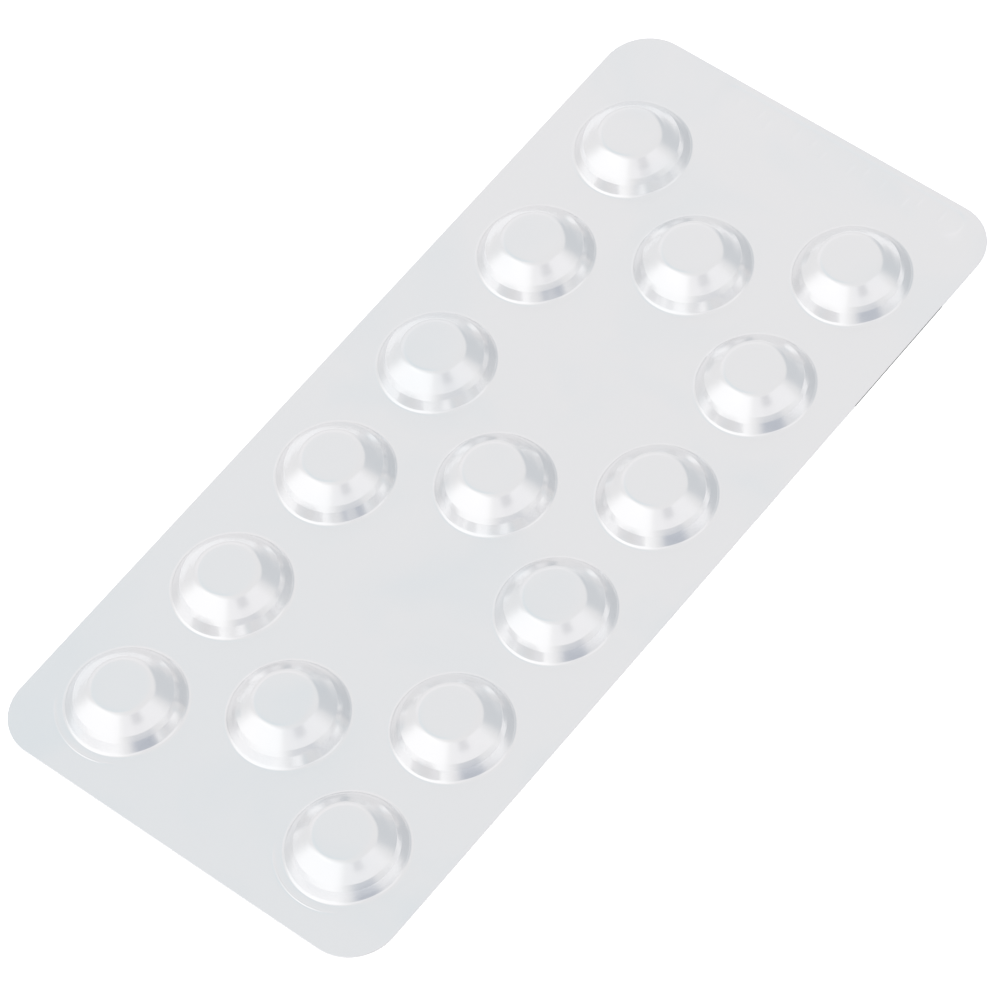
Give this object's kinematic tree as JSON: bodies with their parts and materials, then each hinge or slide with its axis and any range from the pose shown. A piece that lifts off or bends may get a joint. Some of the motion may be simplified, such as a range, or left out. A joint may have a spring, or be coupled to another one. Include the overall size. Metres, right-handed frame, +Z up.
{
  "type": "pill blister pack",
  "caption": "Sealed foil card with raised round pockets in staggered columns, each keeping a tablet dry, and a wider bare margin at one short end.",
  "frame": {"origin": "middle of the flat underside", "axes": "+X across the card, +Y along it towards the wide margin kept for a batch code, +Z up out of the side with the pockets"},
  "size_m": [0.0582, 0.128, 0.0041],
  "materials": {
    "foil": "satin"
  },
  "bodies": {
    "root": {"blister_pack": "foil"}
  },
  "joints": []
}
